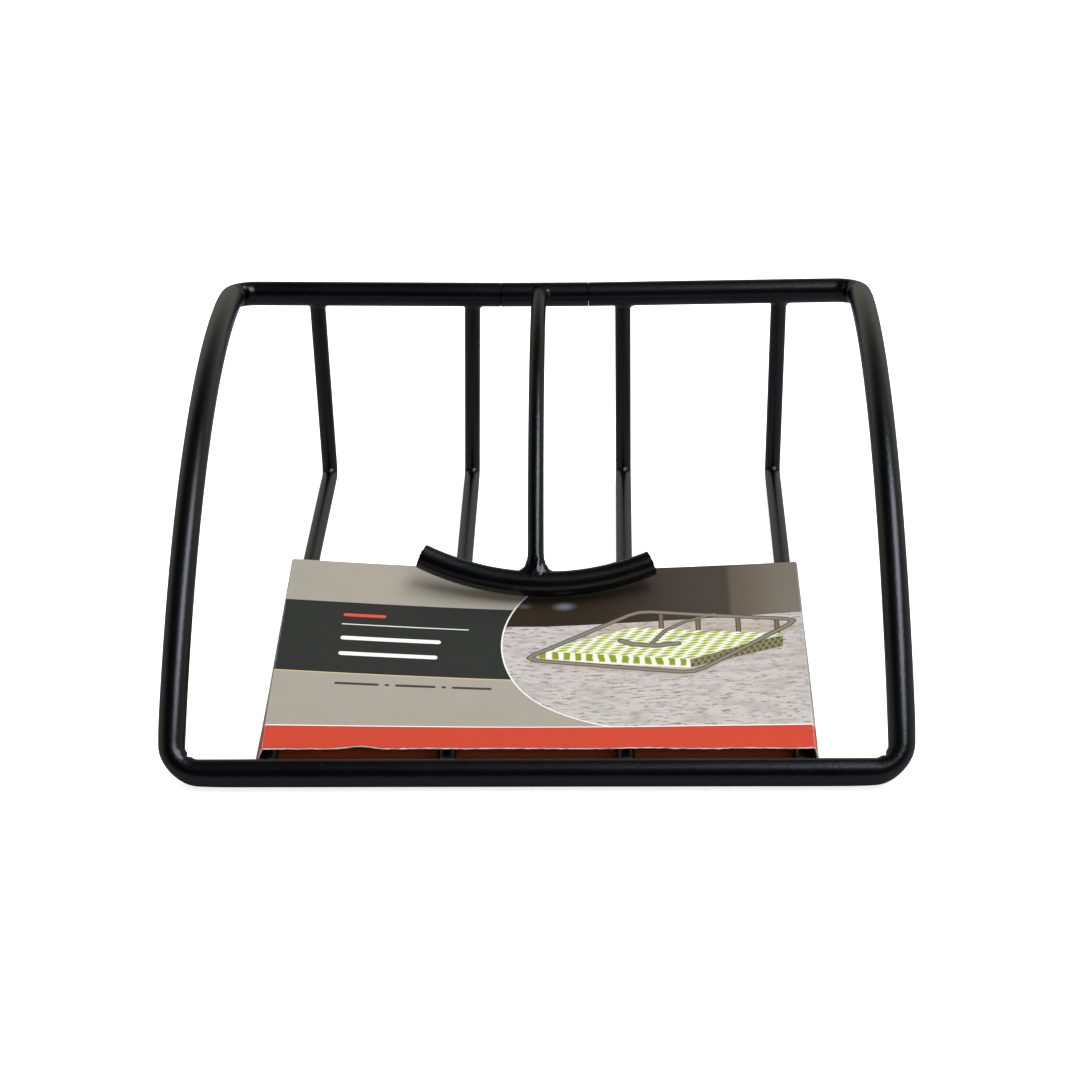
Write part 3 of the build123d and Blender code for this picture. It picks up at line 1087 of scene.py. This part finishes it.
def wear_and_painted_highlights(paint, u, v, fibre):
    """Worn folds, a scuffed front edge, and two spots that the weight bar has polished."""
    paint.over(inked(abs(abs(u) - TOP_HALF) - 0.35) * fibre.ramp(0.45, 0.62) * 0.55, WORN)
    paint.over(v.ramp(1.1, 0.0) * fibre.ramp(0.35, 0.65) * 0.4, DIRT)
    # painted highlights, mixed into the base colour in place of the card's reflections in front of the
    # bar
    for highlight_u, highlight_v, reach, strength in PAINTED_HIGHLIGHTS:
        du, dv = (u - highlight_u) * PAINTED_HIGHLIGHT_NARROW, v - highlight_v
        highlight = (du * du + dv * dv).root().ramp(reach * PAINTED_HIGHLIGHT_NARROW, 0.0)
        paint.over(highlight * strength, PAINTED_HIGHLIGHT)
    paint.over(fibre.ramp(0.2, 0.8) * 0.010, srgb(255, 255, 255))


def printed_card():
    """Coated board: greige ground, charcoal band, bars for text, round picture, red stripe."""
    shader = Shader("printed_board")
    sheet = shader.sheet()
    u, v, _ = shader.split(sheet)
    place = shader.place()
    mottle = shader.noise(place, 0.12, detail=4)
    fibre = shader.noise(place, 3.5, detail=4, roughness=0.7)
    paint = Paint(shader, shader.mix(mottle, PAPER, PAPER_SHADE))
    print_band(paint, u, v)
    ring_u, ring_v = (u - RING_CENTRE[0]).least(0.0), v - RING_CENTRE[1]
    ring = (ring_u * ring_u + ring_v * ring_v).root() - RING_RADIUS
    paint.over(inked(ring - HAIRLINE), WHITE_INK)
    paint.over(inked(ring), picture(shader, u, v, sheet))
    paint.over(inked(v - STRIPE_TOP - HAIRLINE), WHITE_INK)
    paint.over(inked(v - STRIPE_TOP), STRIPE_RED)
    paint.over(abs(u).ramp(84, 84.5), PAPER)            # the base is not printed
    wear_and_painted_highlights(paint, u, v, fibre)
    normal = shader.bump(fibre, 0.010 * MM)
    normal = shader.bump(mottle, 0.10 * MM, normal=normal)
    shader.set(Base_Color=paint.colour, Roughness=fibre.between(0.30, 0.42), Normal=normal,
               Specular_IOR_Level=0.15)
    return shader.result


def raw_board(name, ground, deep, front_red_share):
    """Unprinted board: short fibres, and the red of the front stripe where it bleeds through."""
    shader = Shader(name)
    fibres = shader.noise(shader.place((0.5, 2.5, 2.5)), 1.2, detail=6, roughness=0.75)
    clumps = shader.noise(shader.place(), 0.5, detail=5)
    paint = Paint(shader, shader.mix(fibres.ramp(0.3, 0.7), deep, ground))
    paint.over(clumps.ramp(0.5, 0.8) * 0.4, ground)
    v = shader.split(shader.sheet())[1]
    # redder near the front edge, fading out between about 14 and 17 mm from it
    front_red_mask = (v + clumps * 2).ramp(17, 14) * front_red_share
    paint.over(front_red_mask, INSIDE_FRONT_RED)
    normal = shader.bump(fibres, 0.08 * MM)
    normal = shader.bump(clumps, 0.15 * MM, normal=normal)
    shader.set(Base_Color=paint.colour, Roughness=fibres.between(0.75, 0.95), Normal=normal)
    return shader.result


# ---- assembly


def build_frame(coat, weld_coat, end_steel):
    place_piece("frame_loop_rod", frame_loop_mesh(), [coat, end_steel], "frame", "frame_loop")
    for rib in RIBS:
        place_piece(rib + "_wire", rib_mesh(rib), [coat], "frame", rib)
    front_beads, rear_beads = rib_weld_meshes()
    place_piece("front_rib_weld_beads", front_beads, [weld_coat], "frame", "front_rib_welds")
    place_piece("rear_rib_weld_beads", rear_beads, [weld_coat], "frame", "rear_rib_welds")
    pin_steel = bare_steel("drawn_pin_steel", (0.15, 3, 3), (212, 206, 186), (0.24, 0.46))
    slots = frame["nodes"]["pivot_pin"].data.materials
    slots.clear()
    slots.append(pin_steel)


def build_arm(coat, weld_coat, end_steel):
    arm_line = arm_path()
    bar_line, bar_axis = bar_path(arm_line)
    barrel = rail_at(PIVOT)
    bar = Host(arm_line[-1], bar_axis, BAR_RADIUS)
    arm = skin("arm_mesh", welded_wire(arm_line, ARM_RADIUS, barrel, bar))
    place_piece("pivot_barrel_tube", barrel_mesh(), [coat, end_steel], "arm", "pivot_barrel")
    place_piece("arm_wire_rod", arm, [coat], "arm", "arm_wire")
    place_piece("weight_bar_rod", bar_mesh(bar_line), [coat], "arm", "weight_bar")
    barrel_weld = weld(arm_line[0], arm_line[1], ARM_RADIUS, barrel,
                       BARREL_WELD_REACH, BARREL_WELD_SWELL, 31.0, lean=0.55, lumps=0.8)
    bar_weld = weld(arm_line[-1], arm_line[-2], ARM_RADIUS, bar,
                    BAR_WELD_REACH, BAR_WELD_SWELL, 47.0, lumps=0.38)
    for host, seam in (("barrel", barrel_weld), ("bar", bar_weld)):
        node = "arm_" + host + "_weld"
        place_piece(node + "_bead", bead_mesh(host + "_bead_mesh", seam), [weld_coat], "arm", node)


def build_card():
    inside = raw_board("board_inside", srgb(150, 132, 108), srgb(112, 96, 76), front_red_share=0.9)
    torn_edge = raw_board("torn_board_edge", srgb(206, 200, 190), srgb(150, 140, 128), front_red_share=0.0)
    place_piece("printed_card_sleeve", card_mesh(), [printed_card(), inside, torn_edge],
                "card", "card_sleeve")


def build_pieces():
    coat = powder_coat("satin_powder_coat", lumpy=False)
    weld_coat = powder_coat("coated_weld_metal", lumpy=True)
    end_steel = bare_steel("cut_end_steel", (3, 1, 1), (200, 190, 150), (0.55, 0.75))
    build_frame(coat, weld_coat, end_steel)
    build_arm(coat, weld_coat, end_steel)
    build_card()


# ---- studio

CAMERA_TURN = (1.48, 25.52, -0.856)  # azimuth, elevation and roll in degrees
CAMERA_DISTANCE = 0.8537
CAMERA_AIM = Vector((-0.0004, 0, 0.0242))
CAMERA_LENS = 103.97


def add_camera():
    yaw, pitch, roll = np.radians(CAMERA_TURN)
    ahead = Vector((-math.sin(yaw), math.cos(yaw), 0))
    level = Vector((math.cos(yaw), math.sin(yaw), 0))
    forward = ahead * math.cos(pitch) - Vector((0, 0, math.sin(pitch)))
    upward = level.cross(forward)
    right = level * math.cos(roll) + upward * math.sin(roll)
    top = upward * math.cos(roll) - level * math.sin(roll)
    lens = bpy.data.cameras.new("camera")
    lens.lens = CAMERA_LENS
    camera = add_object("camera", lens)
    turn = Matrix((right, top, -forward)).transposed().to_4x4()
    camera.matrix_world = Matrix.Translation(CAMERA_AIM - forward * CAMERA_DISTANCE) @ turn
    scene.camera = camera


def add_floor():
    """A plain pale table top. It is dimmer in reflections than to the camera, and it lies a
    little low, because the card's base dips that much at the end of its slide."""
    half = 3.0
    level = -0.65 * MM
    mesh = bpy.data.meshes.new("floor_mesh")
    corners = [(-half, -half, level), (half, -half, level), (half, half, level), (-half, half, level)]
    mesh.from_pydata(corners, [], [(0, 1, 2, 3)])
    floor = add_object("floor", mesh)
    shader = Shader("pale_floor")
    seen = shader.add("ShaderNodeLightPath").outputs["Is Camera Ray"]
    albedo = shader.mix(seen, (0.225, 0.215, 0.235, 1), (0.93, 0.93, 0.93, 1))
    glow = shader.mix(seen, (0, 0, 0, 1), (0.7, 0.7, 0.7, 1))
    shader.set(Base_Color=albedo, Roughness=0.9, Specular_IOR_Level=0.0,
               Emission_Color=glow, Emission_Strength=1.0)
    mesh.materials.append(shader.result)


def softbox(name, place, aim, size, power, tint=(1, 1, 1)):
    lamp = bpy.data.lights.new(name, "AREA")
    lamp.shape = "RECTANGLE"
    lamp.size, lamp.size_y = size
    lamp.energy = power
    lamp.color = tint
    box = add_object(name, lamp)
    box.location = place
    box.rotation_mode = "QUATERNION"
    box.rotation_quaternion = (Vector(aim) - Vector(place)).to_track_quat("-Z", "Y")
    return box


def add_sky():
    """White to the camera. In reflections it is pale low down at the sides and rear only."""
    sky = Shader("studio", bpy.data.worlds, "Background")
    scene.world = sky.result
    direction = sky.add("ShaderNodeTexCoord").outputs["Generated"]
    _, rearward, upward = sky.split(direction)
    pale = upward.ramp(0.75, 0.26) * rearward.ramp(-0.45, 0.0)
    reflected = sky.mix(pale, (0.010, 0.011, 0.014, 1), (0.42, 0.42, 0.36, 1))
    seen = sky.add("ShaderNodeLightPath").outputs["Is Camera Ray"]
    sky.set(Color=sky.mix(seen, reflected, (1, 1, 1, 1)))


def add_lights():
    overhead = bpy.data.lights.new("overhead", "SUN")
    overhead.energy = 2.3
    overhead.angle = math.radians(95)
    lamp = add_object("overhead", overhead)
    lamp.rotation_euler = (math.radians(-8), math.radians(6), 0)
    lamp.visible_glossy = False
    softbox("key", (0.50, -0.08, 1.05), (0, 0, 0.03), (1.10, 0.46), 11.0, (0.84, 0.87, 1.0))
    front_fill = softbox("front_fill", (0.35, -1.25, 0.70), (0, 0, 0.02), (1.2, 0.3), 7.0)
    front_fill.visible_glossy = False


build_pieces()
add_floor()
add_sky()
add_lights()
add_camera()
scene.view_settings.view_transform = "Standard"
